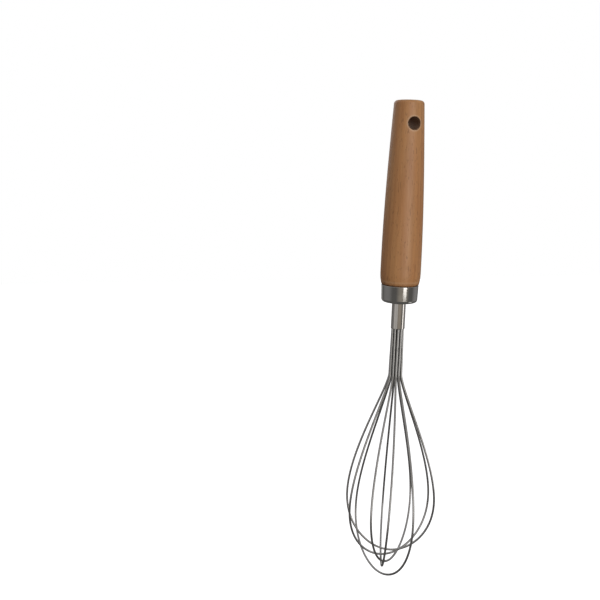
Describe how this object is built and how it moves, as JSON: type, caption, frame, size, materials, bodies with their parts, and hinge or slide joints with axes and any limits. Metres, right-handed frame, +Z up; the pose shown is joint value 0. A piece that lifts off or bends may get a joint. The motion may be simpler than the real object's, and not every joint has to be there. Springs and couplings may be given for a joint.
{
  "type": "balloon whisk",
  "caption": "Balloon whisk with a turned wooden handle, a hanging hole, a steel ferrule and neck tube, and a balloon of sprung wire loops.",
  "frame": {"origin": "centre of the hanging hole, on the handle's axis", "axes": "+Z up along the handle's axis, with the wires hanging towards -Z; the hanging hole is drilled along Y; +X is to the right when looking along +Y"},
  "size_m": [0.0611, 0.0651, 0.2997],
  "materials": {
    "beech": "satin oiled, fine straight grain with short dark flecks",
    "polished_steel": "polished stainless steel",
    "brushed_steel": "drawn stainless steel tube, fine lengthwise lines",
    "spring_wire": "bright drawn stainless spring wire",
    "dark_rod": "dull dark steel rod",
    "cast_resin": "cast epoxy resin"
  },
  "bodies": {
    "root": {"handle": "beech", "ferrule_cup": "polished_steel", "neck_tube": "brushed_steel", "core_rod": "dark_rod", "resin_plug": "cast_resin", "wire_loop_1": "spring_wire", "wire_loop_2": "spring_wire", "wire_loop_3": "spring_wire", "wire_loop_4": "spring_wire", "wire_loop_5": "spring_wire"}
  },
  "joints": []
}
